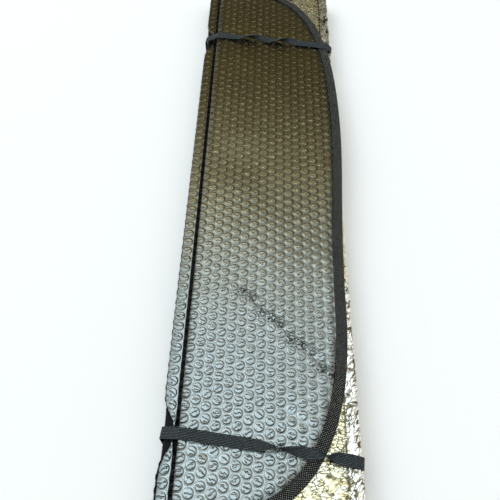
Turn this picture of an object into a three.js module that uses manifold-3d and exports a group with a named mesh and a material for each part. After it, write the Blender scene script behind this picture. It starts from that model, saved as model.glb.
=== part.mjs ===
// Windscreen sunshade, folded up: one sheet of bubble foil in accordion folds, bound with woven tape and
// held shut by two elastics. Millimetres, +X across the folds, +Y along them, +Z up, underside at Z = 0.
import * as THREE from 'three';
import { mergeVertices } from 'three/addons/utils/BufferGeometryUtils.js';
import Module from 'manifold-3d';

const wasm = await Module();
wasm.setup();

// Bundle
const shadeHeight = 700; // along Y, over the tape at both ends
const panelCount = 8;
const foldedWidth = 168; // over the outer folds
const topFoldInset = 14; // how far the uppermost left fold lies inside the others
const layerPitch = 4.4;
const clearance = 0.3;

// Bubble foil
const foilThickness = 3.4;
const filmThickness = 0.8; // the flat film between the bubbles
const pinchedThickness = 1.2; // the foil flattened under the tape
const bubblePitch = 10.5;
const bubbleStandoff = 0.5; // how far open bubbles stand above the pressed ones

// Free edge of the two outer panels
const sideInset = 4.5; // the straight of the side lies this far inside the right folds
const sideBulge = 8.6; // and the middle of it this far outside that straight
const cornerRise = 190; // the corner's length along the side
const cornerRun = 131; // and along the end
const cornerSideHandle = 114;
const cornerEndHandle = 101;

// Woven tape
const tapeWidth = 10;
const tapeThickness = 0.8;

// Elastics
const elasticWidth = 10;
const elasticThickness = 1;
const elasticGather = 0.35; // how much narrower the band is where it stands on edge
const elasticSlant = THREE.MathUtils.degToRad(7);
const nearElasticInset = 62; // from the near end to the band's middle
const farElasticInset = 118;
const nearTwists = [{ x: 18, run: 62 }, { x: 55, run: 34 }]; // half turns on the top run
const farTwists = [{ x: -18, run: 62 }, { x: 22, run: 50 }];

// Smoothness
const arcSteps = 6;
const cornerSteps = 12;
const elasticCornerStep = Math.PI / 12;
const elasticTopStep = 3.4;
const topFacing = 0.7; // a band faces up where its outward direction rises more than this

const leftFold = -foldedWidth / 2;
const rightFold = foldedWidth / 2;
const endY = shadeHeight / 2;
const nearElasticY = nearElasticInset - endY;
const farElasticY = endY - farElasticInset;
const far = 2 * Math.max(shadeHeight, foldedWidth);
const tapeOuter = pinchedThickness + 2 * (clearance + tapeThickness);
const foilHalf = foilThickness / 2;
const foldRadius = layerPitch / 2;
const layerHalf = Math.max(foilThickness, tapeOuter) / 2;
const layerZ = panel => layerHalf + (panelCount - panel) * layerPitch;
const topZ = layerZ(1);

// Closed geometry to a solid, and back
function solidOf(geometry) {
  const bare = geometry.index ? geometry.toNonIndexed() : geometry.clone();
  bare.deleteAttribute('normal');
  bare.deleteAttribute('uv');
  const merged = mergeVertices(bare, 1e-4);
  const mesh = new wasm.Mesh({
    numProp: 3,
    vertProperties: merged.attributes.position.array,
    triVerts: new Uint32Array(merged.index.array),
  });
  return new wasm.Manifold(mesh);
}

function geometryOf(solid) {
  const mesh = solid.getMesh();
  const geometry = new THREE.BufferGeometry();
  geometry.setAttribute('position', new THREE.BufferAttribute(mesh.vertProperties, 3));
  geometry.setIndex(new THREE.BufferAttribute(mesh.triVerts, 1));
  const faceted = geometry.toNonIndexed();
  faceted.computeVertexNormals();
  return faceted;
}

function block(x0, x1, y0, y1, z0, z1) {
  const box = new THREE.BoxGeometry(x1 - x0, y1 - y0, z1 - z0);
  box.translate((x0 + x1) / 2, (y0 + y1) / 2, (z0 + z1) / 2);
  return solidOf(box);
}

// An outline in X and Y as a prism between two heights
function prism(points, z0, z1) {
  const geometry = new THREE.ExtrudeGeometry(new THREE.Shape(points), { depth: z1 - z0, bevelEnabled: false });
  geometry.translate(0, 0, z0);
  return solidOf(geometry);
}

// The accordion's centre line, in X and Z: panels joined by half-round folds, left first
function accordion(offset) {
  const line = [];
  for (let panel = 1; panel < panelCount; panel++) {
    const atLeft = panel % 2 === 1;
    const side = atLeft ? -1 : 1;
    const outer = panel === 1 ? leftFold + topFoldInset : (atLeft ? leftFold : rightFold);
    const centreX = outer - side * (foldRadius + foilHalf);
    const centreZ = (layerZ(panel) + layerZ(panel + 1)) / 2;
    const radius = foldRadius - side * offset;
    for (let i = 0; i <= arcSteps; i++) {
      const turn = Math.PI * (0.5 - i / arcSteps);
      line.push(new THREE.Vector2(centreX + side * radius * Math.cos(turn), centreZ + radius * Math.sin(turn)));
    }
  }
  return line;
}

// The folded sheet at a given thickness. Both free ends run past the free edge, which the outline cuts.
function foldedSheet(thickness) {
  const beyond = rightFold + sideBulge + tapeWidth;
  const lastSide = panelCount % 2 ? 1 : -1; // the face that starts on top ends above or below
  const face = offset => [
    new THREE.Vector2(beyond, topZ + offset),
    ...accordion(offset),
    new THREE.Vector2(beyond, layerZ(panelCount) + lastSide * offset),
  ];
  const section = new THREE.Shape([...face(thickness / 2), ...face(-thickness / 2).reverse()]);
  const geometry = new THREE.ExtrudeGeometry(section, { depth: shadeHeight, bevelEnabled: false });
  geometry.rotateX(Math.PI / 2);
  geometry.translate(0, endY, 0);
  return solidOf(geometry);
}

// The free edge from the near end round to the far end, and the same line moved inwards
function freeEdge(inset) {
  const sideX = rightFold - sideInset;
  const widestX = sideX + sideBulge;
  const endX = sideX - cornerRun;
  const sideY = endY - cornerRise;
  const path = new THREE.Path();
  path.moveTo(-far, -endY);
  path.lineTo(endX, -endY);
  path.bezierCurveTo(endX + cornerEndHandle, -endY, sideX, -sideY - cornerSideHandle, sideX, -sideY);
  path.bezierCurveTo(sideX, -sideY / 3, widestX, 0, widestX, sideY / 2);
  path.bezierCurveTo(widestX, sideY + cornerSideHandle, endX + cornerEndHandle, endY, endX, endY);
  path.lineTo(-far, endY);
  const points = path.getPoints(cornerSteps);
  return points.map((point, i) => {
    const before = points[Math.max(i - 1, 0)];
    const after = points[Math.min(i + 1, points.length - 1)];
    const along = after.clone().sub(before).normalize();
    return new THREE.Vector2(point.x - along.y * inset, point.y + along.x * inset);
  });
}

// Where an outline crosses a level of Y on its right side
function crossingX(outline, y) {
  let crossing = rightFold;
  for (let i = 1; i < outline.length; i++) {
    const [a, b] = [outline[i - 1], outline[i]];
    if (a.y < y && b.y >= y) crossing = a.x + (b.x - a.x) * (y - a.y) / (b.y - a.y);
  }
  return crossing;
}

// All that lies inside the sheet's edge by a given inset: the outer panels to the free edge, the rest to the ends
function insideEdge(inset) {
  const freePanel = z => prism(freeEdge(inset), z - foldRadius, z + far);
  const top = freePanel(topZ);
  const bottom = prism(freeEdge(inset), -far, layerZ(panelCount) + foldRadius);
  const y = endY - inset;
  const between = block(-far, far, -y, y, layerZ(panelCount) + foldRadius, topZ - foldRadius);
  return top.add(bottom).add(between);
}

// A field of open bubbles as six-sided domes that share their valleys, columns along Y, on a level floor.
// Only whole bubbles inside the tape are made.
function bubbleField(x0, x1, floor, crown) {
  const columnPitch = bubblePitch * Math.sin(Math.PI / 3);
  const cornerRadius = bubblePitch / Math.sqrt(3);
  const root = floor - filmThickness / 2;
  const outline = freeEdge(tapeWidth + clearance);
  const positions = [];
  const openSides = new Map();
  const triangle = (a, b, c) => positions.push(...a, ...b, ...c);
  const key = point => `${Math.round(point.x * 100)},${Math.round(point.y * 100)}`;
  const columns = Math.floor((x1 - x0 - 2 * cornerRadius) / columnPitch) + 1;
  const rows = Math.floor(shadeHeight / bubblePitch);
  for (let column = 0; column < columns; column++) {
    const x = x0 + cornerRadius + column * columnPitch;
    for (let row = 0; row <= rows; row++) {
      const y = (row - rows / 2 + (column % 2) / 2) * bubblePitch;
      const corners = [0, 1, 2, 3, 4, 5].map(n => {
        const turn = n * Math.PI / 3;
        return new THREE.Vector2(x + cornerRadius * Math.cos(turn), y + cornerRadius * Math.sin(turn));
      });
      const inside = corner => Math.abs(corner.y) < outline.at(-1).y && corner.x < crossingX(outline, corner.y);
      if (!corners.every(inside)) continue;
      corners.forEach((a, i) => {
        const b = corners[(i + 1) % 6];
        triangle([x, y, crown], [a.x, a.y, floor], [b.x, b.y, floor]);
        triangle([x, y, root], [b.x, b.y, root], [a.x, a.y, root]);
        if (!openSides.delete(`${key(b)} ${key(a)}`)) openSides.set(`${key(a)} ${key(b)}`, [a, b]);
      });
    }
  }
  for (const [a, b] of openSides.values()) {
    triangle([a.x, a.y, root], [b.x, b.y, root], [b.x, b.y, floor]);
    triangle([a.x, a.y, root], [b.x, b.y, floor], [a.x, a.y, floor]);
  }
  const geometry = new THREE.BufferGeometry();
  geometry.setAttribute('position', new THREE.Float32BufferAttribute(positions, 3));
  return solidOf(geometry);
}

// Open bubbles in place of the pressed foil on one panel, between two X
function openBubbles(foil, panel, x0, x1) {
  const floor = layerZ(panel) - foilHalf + filmThickness;
  const crown = layerZ(panel) + foilHalf + bubbleStandoff;
  const room = block(x0, x1, -endY, endY, floor, layerZ(panel) + foldRadius);
  return foil.subtract(room.intersect(insideEdge(tapeWidth + clearance))).add(bubbleField(x0, x1, floor, crown));
}

// Elastics
function convexHull(points) {
  const sorted = [...points].sort((a, b) => a.x - b.x || a.y - b.y);
  const turn = (a, b, c) => (b.x - a.x) * (c.y - a.y) - (b.y - a.y) * (c.x - a.x);
  const chain = list => {
    const hull = [];
    for (const point of list) {
      while (hull.length > 1 && turn(hull.at(-2), hull.at(-1), point) <= 0) hull.pop();
      hull.push(point);
    }
    return hull.slice(0, -1);
  };
  return [...chain(sorted), ...chain(sorted.reverse())];
}

// The taut line round the bundle in the slanted plane of a band at a given Y: points at the middle of the band,
// each with the direction that is outward there, closer together along the top, where the band turns over
function tautLine(y) {
  const spread = elasticWidth / 2 + clearance;
  const groove = elasticThickness + clearance;
  const crownZ = topZ + foilHalf + bubbleStandoff;
  const folds = [...accordion(foilHalf), ...accordion(-foilHalf)];
  folds.push(new THREE.Vector2(leftFold + topFoldInset + foldRadius + foilHalf, crownZ));
  const skew = spread * Math.tan(elasticSlant); // a slanted band meets a fold across this much of its own length
  const held = folds.flatMap(({ x, y: z }) => [-skew, skew].map(shift => (
    new THREE.Vector2(x / Math.cos(elasticSlant) + shift, Math.max(z, groove))
  )));
  const slanted = freeEdge(0).map(point => point.rotateAround(new THREE.Vector2(0, y), elasticSlant));
  const edgeX = Math.max(...[y - spread, y, y + spread].map(level => crossingX(slanted, level)));
  held.push(new THREE.Vector2(edgeX, crownZ), new THREE.Vector2(edgeX, groove));
  const hull = convexHull(held);
  const offset = clearance + elasticThickness / 2;
  const line = [];
  hull.forEach((point, i) => {
    const next = hull[(i + 1) % hull.length];
    const fromAngle = point.clone().sub(hull.at(i - 1)).angle() - Math.PI / 2;
    const leaving = next.clone().sub(point).angle() - Math.PI / 2;
    const sweep = THREE.MathUtils.euclideanModulo(leaving - fromAngle, 2 * Math.PI);
    const cornerParts = Math.ceil(sweep / elasticCornerStep);
    for (let n = 0; n <= cornerParts; n++) {
      const angle = fromAngle + sweep * n / cornerParts;
      const outward = new THREE.Vector2(Math.cos(angle), Math.sin(angle));
      line.push({ point: point.clone().addScaledVector(outward, offset), outward });
    }
    const { point: start, outward } = line.at(-1);
    const end = next.clone().addScaledVector(outward, offset);
    const runParts = outward.y > topFacing ? Math.ceil(start.distanceTo(end) / elasticTopStep) : 1;
    for (let n = 1; n < runParts; n++) line.push({ point: start.clone().lerp(end, n / runParts), outward });
  });
  return line;
}

// A flat closed band round that line. Where it crosses the top it turns over, and stands clear as it does.
function elasticBand(y, twists) {
  const halfThick = elasticThickness / 2;
  const rings = tautLine(y).map(({ point, outward }) => {
    const away = new THREE.Vector3(outward.x, 0, outward.y);
    const along = new THREE.Vector3(-outward.y, 0, outward.x);
    let turn = 0;
    if (outward.y > topFacing) {
      for (const { x, run } of twists) turn += Math.PI * THREE.MathUtils.smootherstep(x - point.x, -run / 2, run / 2);
    }
    const upright = Math.abs(Math.sin(turn));
    const halfWidth = elasticWidth / 2 * (1 - elasticGather * upright);
    const lift = (halfWidth - halfThick) * upright;
    const centre = new THREE.Vector3(point.x, 0, point.y).addScaledVector(away, lift);
    const across = new THREE.Vector3(0, 1, 0).applyAxisAngle(along, turn);
    const up = away.clone().applyAxisAngle(along, turn);
    const corner = (w, t) => centre.clone().addScaledVector(across, w * halfWidth).addScaledVector(up, t * halfThick);
    return [corner(-1, -1), corner(1, -1), corner(1, 1), corner(-1, 1)];
  });
  const positions = [];
  rings.forEach((ring, i) => {
    const next = rings[(i + 1) % rings.length];
    for (let n = 0; n < 4; n++) {
      const m = (n + 1) % 4;
      for (const point of [ring[n], next[m], ring[m], ring[n], next[n], next[m]]) positions.push(...point.toArray());
    }
  });
  const geometry = new THREE.BufferGeometry();
  geometry.setAttribute('position', new THREE.Float32BufferAttribute(positions, 3));
  geometry.rotateZ(-elasticSlant);
  geometry.translate(0, y, 0);
  return solidOf(geometry);
}

// The flattened place that an elastic's lower run presses into the underside
function pressedGroove(y) {
  const halfWidth = elasticWidth / 2 + clearance;
  const geometry = new THREE.BoxGeometry(2 * far, 2 * halfWidth, 2 * (elasticThickness + clearance));
  geometry.rotateZ(-elasticSlant);
  geometry.translate(0, y, 0);
  return solidOf(geometry);
}

// The sheet, thin under the tape and full inside it, with open bubbles where its dark face lies open
function foilSheet() {
  const hem = tapeThickness + clearance;
  const flattened = foldedSheet(pinchedThickness).intersect(insideEdge(hem));
  const full = foldedSheet(foilThickness).intersect(insideEdge(tapeWidth + clearance));
  let foil = flattened.add(full);
  const straightEnd = foldRadius + foilHalf;
  foil = openBubbles(foil, 1, leftFold + topFoldInset + straightEnd, rightFold + sideBulge);
  foil = openBubbles(foil, 3, leftFold + straightEnd, leftFold + topFoldInset + bubblePitch);
  for (const y of [nearElasticY, farElasticY]) foil = foil.subtract(pressedGroove(y));
  return foil;
}

// The tape, folded over the sheet's edge all the way round
function edgeBinding() {
  const band = foldedSheet(tapeOuter).intersect(insideEdge(0).subtract(insideEdge(tapeWidth)));
  const slot = foldedSheet(pinchedThickness + 2 * clearance).intersect(insideEdge(tapeThickness));
  return band.subtract(slot);
}

// A closed loop, cut where its two ends are sewn under and onto the tape of the lowest panel
function sewnElastic(y, twists) {
  const zone = insideEdge(-clearance).subtract(insideEdge(tapeWidth + clearance));
  const lowest = block(0, far, -far, far, -far, layerZ(panelCount) + foldRadius);
  return elasticBand(y, twists).subtract(zone.intersect(lowest));
}

function piece(name, solid, color, roughness, metalness) {
  const material = new THREE.MeshStandardMaterial({ color, roughness, metalness });
  const mesh = new THREE.Mesh(geometryOf(solid), material);
  mesh.name = name;
  return mesh;
}

const group = new THREE.Group();
group.add(piece('foil_sheet', foilSheet(), 0x4b4d4f, 0.32, 0.5));
group.add(piece('edge_binding', edgeBinding(), 0x0c0c0d, 0.85, 0));
group.add(piece('elastic_near', sewnElastic(nearElasticY, nearTwists), 0x101113, 0.8, 0));
group.add(piece('elastic_far', sewnElastic(farElasticY, farTwists), 0x101113, 0.8, 0));

const middle = new THREE.Box3().setFromObject(group).getCenter(new THREE.Vector3());
group.position.set(-middle.x, -middle.y, 0);
export default group;
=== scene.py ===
"""Looks of the folded windscreen sunshade: bubble foil in accordion folds, woven binding and flat elastics.

Every piece is first laid out on the unfolded sheet and then wrapped round the accordion, so that foil,
bubbles, tape and thread follow the same folds. Sizes are in millimetres and in the CAD frame.
"""
import math

import bpy
import numpy as np
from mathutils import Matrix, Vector


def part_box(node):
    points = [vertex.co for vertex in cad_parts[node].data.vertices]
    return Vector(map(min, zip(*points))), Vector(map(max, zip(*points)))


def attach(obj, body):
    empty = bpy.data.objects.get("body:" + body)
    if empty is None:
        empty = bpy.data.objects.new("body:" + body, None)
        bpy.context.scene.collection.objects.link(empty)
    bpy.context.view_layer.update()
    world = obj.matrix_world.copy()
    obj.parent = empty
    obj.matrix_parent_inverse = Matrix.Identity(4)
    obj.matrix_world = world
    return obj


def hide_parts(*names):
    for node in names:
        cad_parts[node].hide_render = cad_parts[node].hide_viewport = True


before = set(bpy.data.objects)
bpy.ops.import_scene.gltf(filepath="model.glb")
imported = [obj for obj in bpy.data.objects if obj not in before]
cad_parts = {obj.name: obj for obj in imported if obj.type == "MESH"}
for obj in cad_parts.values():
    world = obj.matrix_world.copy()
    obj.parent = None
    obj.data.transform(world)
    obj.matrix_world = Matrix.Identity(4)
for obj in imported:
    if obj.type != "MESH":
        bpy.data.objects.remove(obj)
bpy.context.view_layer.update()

MM = 0.001

# Sizes shared with the part's source. The top panel's inset is 14 there, and the soft fold lies further in.
PANELS = 8
LAYER = 4.4
FOLD_RADIUS = LAYER / 2
FOIL_HALF = 1.7
PINCHED_HALF = 0.6
FOLDED_WIDTH = 168
TOP_INSET = 16
PITCH = 10.5
TAPE_WIDTH = 10
TAPE_HALF = 1.7
TAPE_THICKNESS = 0.8
CLEARANCE = 0.3
SIDE_INSET = 4.5
SIDE_BULGE = 8.6
CORNER_RISE = 190
CORNER_RUN = 131
SIDE_HANDLE = 114
END_HANDLE = 101
ELASTIC_WIDTH = 10
ELASTIC_THICKNESS = 1.0
ELASTIC_SLANT = math.radians(7)
COS_SLANT, SIN_SLANT = math.cos(ELASTIC_SLANT), math.sin(ELASTIC_SLANT)
ELASTIC_GATHER = 0.35
ELASTICS = {
    "elastic_near": {"y": -288, "turns": [(18, 62), (55, 34)]},
    "elastic_far": {"y": 232, "turns": [(-18, 62), (22, 50)]},
}

# Places that the frame gives
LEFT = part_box("foil_sheet")[0][0] / MM
RIGHT = LEFT + FOLDED_WIDTH
MIDDLE = (LEFT + RIGHT) / 2
END_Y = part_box("edge_binding")[1][1] / MM
WIDEST_X = RIGHT - SIDE_INSET + SIDE_BULGE
STRAIGHT_END = FOLD_RADIUS + FOIL_HALF
OUTER_PANELS = (1, PANELS)


def layer_z(panel):
    return TAPE_HALF + (PANELS - panel) * LAYER


TOP_Z = layer_z(1)
rng = np.random.default_rng(11)


# Small tools

def smoothstep(low, high, value):
    t = np.clip((value - low) / (high - low), 0, 1)
    return t * t * (3 - 2 * t)


NOISE_CELLS = 64


def soft_noise(x, y, scale, seed):
    """Smooth value noise from 0 to 1 over a plane, the same for the same seed."""
    table = np.random.default_rng(seed).random((NOISE_CELLS, NOISE_CELLS))
    across, along = x / scale, y / scale
    column, row = np.floor(across).astype(int), np.floor(along).astype(int)
    share_x, share_y = smoothstep(0, 1, across - column), smoothstep(0, 1, along - row)

    def corner(right, up):
        return table[(column + right) % NOISE_CELLS, (row + up) % NOISE_CELLS]

    lower = corner(0, 0) * (1 - share_x) + corner(1, 0) * share_x
    upper = corner(0, 1) * (1 - share_x) + corner(1, 1) * share_x
    return lower * (1 - share_y) + upper * share_y


def add_mesh(name, points, faces, materials, face_material=None, values=None):
    """A mesh object from points in millimetres. values are named per-point colours or vectors."""
    mesh = bpy.data.meshes.new(name)
    mesh.from_pydata((np.asarray(points) * MM).tolist(), [], [list(map(int, face)) for face in faces])
    for material in materials:
        mesh.materials.append(material)
    if face_material is not None:
        mesh.polygons.foreach_set("material_index", np.asarray(face_material, np.int32))
    mesh.polygons.foreach_set("use_smooth", np.full(len(mesh.polygons), True))
    for key, value in (values or {}).items():
        kind = "FLOAT" if value.ndim == 1 else "FLOAT_VECTOR"
        attribute = mesh.attributes.new(key, kind, "POINT")
        attribute.data.foreach_set("value" if value.ndim == 1 else "vector", value.astype(np.float32).ravel())
    mesh.update()
    piece = bpy.data.objects.new(name, mesh)
    bpy.context.scene.collection.objects.link(piece)
    return piece


def grid_faces(rows, columns, close_rows=False, close_columns=False):
    """Quads between a grid's points, which run column by column within each row."""
    row_count = rows if close_rows else rows - 1
    column_count = columns if close_columns else columns - 1
    i, j = np.meshgrid(np.arange(row_count), np.arange(column_count), indexing="ij")
    i, j = i.ravel(), j.ravel()
    right, down = (j + 1) % columns, (i + 1) % rows
    here, below = i * columns, down * columns
    return np.stack([here + j, here + right, below + right, below + j], 1)


def grid_rim(rows, columns):
    """A grid's outer points in order."""
    last_row = (rows - 1) * columns
    return np.concatenate([np.arange(columns), np.arange(2, rows + 1) * columns - 1,
                           np.arange(rows * columns - 2, last_row - 1, -1),
                           np.arange(rows - 2, 0, -1) * columns])


# The free edge's outline

def bezier(points, count):
    t = np.linspace(0, 1, count)[:, None]
    a, b, c, d = [np.array(point, float) for point in points]
    return (1 - t) ** 3 * a + 3 * (1 - t) ** 2 * t * b + 3 * (1 - t) * t ** 2 * c + t ** 3 * d


def free_edge(steps=48):
    """The free edge's points from the near end to the far end, in X and Y."""
    side_x = RIGHT - SIDE_INSET
    end_x = side_x - CORNER_RUN
    side_y = END_Y - CORNER_RISE
    near = [(end_x, -END_Y), (end_x + END_HANDLE, -END_Y), (side_x, -side_y - SIDE_HANDLE), (side_x, -side_y)]
    side = [(side_x, -side_y), (side_x, -side_y / 3), (WIDEST_X, 0), (WIDEST_X, side_y / 2)]
    far = [(WIDEST_X, side_y / 2), (WIDEST_X, side_y + SIDE_HANDLE), (end_x + END_HANDLE, END_Y),
           (end_x, END_Y)]
    parts = [bezier(part, steps) for part in (near, side, far)]
    return np.concatenate([parts[0], parts[1][1:], parts[2][1:]])


EDGE = free_edge()


def edge_x(y):
    """Where the free edge lies at a given Y."""
    return np.interp(y, EDGE[:, 1], EDGE[:, 0])


def inside_distance(x, y):
    """How far inside the free edge a point of an outer panel lies, both ends included."""
    starts, ends = EDGE[:-1], EDGE[1:]
    along = ends - starts
    length = (along ** 2).sum(1)
    best = np.full(x.shape, 1e9)
    for start, line, square in zip(starts, along, length):
        t = np.clip(((x - start[0]) * line[0] + (y - start[1]) * line[1]) / square, 0, 1)
        best = np.minimum(best, np.hypot(x - start[0] - t * line[0], y - start[1] - t * line[1]))
    outside = (x > edge_x(y)) | (np.abs(y) > END_Y)
    best = np.where(outside, -best, best)
    ends_only = np.where(x < EDGE[0, 0], END_Y - np.abs(y), 1e9)
    return np.minimum(best, ends_only)


# The accordion. s runs across the unfolded sheet from the uppermost free edge to the lowest one.

FOLD_SQUARENESS = 0.52


class Accordion:
    """Panels and folds by turns. kind is 1 for a panel and 2 for a fold, with the side as its sign."""

    def __init__(self):
        parts = []
        s, x = 0.0, WIDEST_X
        for panel in range(1, PANELS + 1):
            side = -1 if panel % 2 else 1
            parts.append((s, side, x, layer_z(panel)))
            if panel == PANELS:
                break
            if side == -1:
                fold_x = LEFT + STRAIGHT_END + (TOP_INSET if panel == 1 else 0)
            else:
                fold_x = RIGHT - STRAIGHT_END
            s += abs(fold_x - x)
            x = fold_x
            parts.append((s, 2 * side, x, layer_z(panel) - FOLD_RADIUS))
            s += math.pi * FOLD_RADIUS
        self.total = s + abs(WIDEST_X - x)
        self.start, self.kind, self.x, self.z = np.array(parts).T

    def part_of(self, s):
        """The number of the panel or fold at s."""
        return np.clip(np.searchsorted(self.start, s, side="right") - 1, 0, len(self.start) - 1)

    def wrap(self, s, y, height):
        """Points of the folded sheet. height is measured from its middle towards the dark face."""
        k = self.part_of(s)
        local, side = s - self.start[k], np.sign(self.kind[k])
        is_fold = np.abs(self.kind[k]) == 2
        turn = np.where(is_fold, local / FOLD_RADIUS, 0)
        radius = FOLD_RADIUS - side * height
        arc_x = self.x[k] + side * radius * np.maximum(np.sin(turn), 0) ** FOLD_SQUARENESS
        arc_z = self.z[k] + radius * np.sign(np.cos(turn)) * np.abs(np.cos(turn)) ** FOLD_SQUARENESS
        flat_x = self.x[k] + side * local
        flat_z = self.z[k] - side * height
        points = [np.where(is_fold, arc_x, flat_x), y, np.where(is_fold, arc_z, flat_z)]
        return np.stack(points, -1).reshape(-1, 3)

    def s_of(self, panel, x):
        """s of a place on one panel."""
        k = 2 * (panel - 1)
        return self.start[k] + np.abs(x - self.x[k])


ACCORDION = Accordion()


# How the soft bundle differs from the even one: the elastics draw it in, and the top panel isn't quite flat

def elastic_distance(x, y):
    """Distance to the nearer elastic's middle."""
    slant = (x - MIDDLE) * SIN_SLANT
    return np.minimum(*[np.abs((y - band["y"]) * COS_SLANT + slant) for band in ELASTICS.values()])


PINCH_REACH = 38
PINCH_DEPTH = 2.2
PINCH_SIDE = 6
SAG = 1.1
SAG_SPAN = 46
HELD_SAG = 0.7


def pinch(x, y):
    """1 under an elastic, falling to 0 at its reach."""
    return 1 - smoothstep(ELASTIC_WIDTH / 2, PINCH_REACH, elastic_distance(x, y))


def settle(points):
    """Moves points as the soft sheet lies."""
    x, y, z = points[:, 0].copy(), points[:, 1], points[:, 2].copy()
    held = pinch(x, y)
    beside = 1 - smoothstep(LEFT + PINCH_SIDE, LEFT + TOP_INSET + PINCH_SIDE, x)
    below = 1 - smoothstep(layer_z(2) - 1, layer_z(2) + 1.5, z)
    x += PINCH_DEPTH * held * beside * below
    upper = smoothstep(layer_z(2), TOP_Z, z)
    z -= SAG * soft_noise(x + 400, y + 900, SAG_SPAN, 3) * upper
    z -= HELD_SAG * held ** 2 * upper
    return np.stack([x, y, z], -1)


def placed(s, y, height):
    """Points of the sheet as it lies, wrapped and settled."""
    return settle(ACCORDION.wrap(s, y, height))


# Marks on the top panel, as lines in X and Y, the dents with their reach
CREASE = ((-19.5, -146.4), (64.6, -228.2))
DENTS = [((23.0, -258.0), (38.0, -270.5), 3.2), ((-48.5, -293.5), (-31.0, -298.0), 2.6)]


def crease_side(x, y):
    """Distance to the crease's line, with its side as the sign. It grows beyond the crease's ends."""
    (ax, ay), (bx, by) = CREASE
    length = math.hypot(bx - ax, by - ay)
    along = ((x - ax) * (bx - ax) + (y - ay) * (by - ay)) / length
    aside = ((x - ax) * (by - ay) - (y - ay) * (bx - ax)) / length
    beyond = np.maximum(np.maximum(-along, along - length), 0)
    return aside + np.where(aside < 0, -beyond, beyond)


def line_distance(x, y, start, end):
    (ax, ay), (bx, by) = start, end
    dx, dy = bx - ax, by - ay
    t = np.clip(((x - ax) * dx + (y - ay) * dy) / (dx * dx + dy * dy), 0, 1)
    return np.hypot(x - ax - t * dx, y - ay - t * dy)


# Bubbles

BUBBLE_RADIUS = 0.43 * PITCH
CELL_STEPS = 12
FIELD_INSET = 6.5
FIELD_DEPTH = 1.0
FLOOR = 0.75
STRIP_FLOOR = 1.05
CROWN = FOIL_HALF + 0.45
# Each ring's share of the radius on a full bubble and on a flat one, and its share of the height
RINGS = [(1.06, 1.08, 0.0), (0.99, 1.0, 0.10), (0.92, 0.88, 0.50), (0.83, 0.76, 0.85), (0.74, 0.66, 0.98),
         (0.64, 0.55, 1.0)]
SPOILT_REACH = (1.6, 4.0)
FULLNESS = 0.75
FULLNESS_SPREAD = 0.10
SPOILT_LOSS = 0.45
FLAT_LOSS = 0.88
FLATTER_Y = (-190, 20)
SLACK_STEPS = [(0.3, -210, -80), (0.4, -60, 200)]
CREASE_DEPTH = 0.5
CREASE_REACH = 0.8
DENT_SHARE = 0.75
RIDGE_SHARE = 0.6
HELD_NARROWING = 0.92
TAPE_RISE = (TAPE_WIDTH - 1.5, TAPE_WIDTH + 3.5)


def cells(x0, x1, phase):
    """Centres of the bubbles between two X, in columns along Y. phase is the centre of any one of them."""
    column_pitch = PITCH * math.sin(math.pi / 3)
    first = math.ceil((x0 - phase[0]) / column_pitch)
    last = math.floor((x1 - phase[0]) / column_pitch)
    rows = math.ceil(END_Y / PITCH) + 1
    centres = []
    for column in range(first, last + 1):
        y = phase[1] + (column % 2) * PITCH / 2 + np.arange(-2 * rows, 2 * rows) * PITCH
        centres.append(np.stack([np.full(len(y), phase[0] + column * column_pitch), y], 1))
    centres = np.concatenate(centres)
    return centres[END_Y - np.abs(centres[:, 1]) > FIELD_INSET]


def zip_rings(outer, inner):
    """Triangles between two rings of different counts, the inner one numbered after the outer."""
    triangles = []
    i = j = 0
    while i < outer or j < inner:
        if j == inner or (i < outer and (i + 1) / outer <= (j + 1) / inner):
            triangles.append([i, (i + 1) % outer, outer + j % inner])
            i += 1
        else:
            triangles.append([i % outer, outer + (j + 1) % inner, outer + j])
            j += 1
    return triangles


def wrinkles(x, y, cell_seed):
    """Folds in the slack top of a bubble, in its own coordinates."""
    angle = 2 * math.pi * cell_seed
    along = x * np.cos(angle) + y * np.sin(angle)
    across = -x * np.sin(angle) + y * np.cos(angle)
    bend = across + 0.16 * along ** 2 * np.sign(cell_seed - 0.5)
    return np.cos(2.1 * bend + 9 * cell_seed) * np.exp(-(along / 3.4) ** 2 - (across / 3.0) ** 2)


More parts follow.
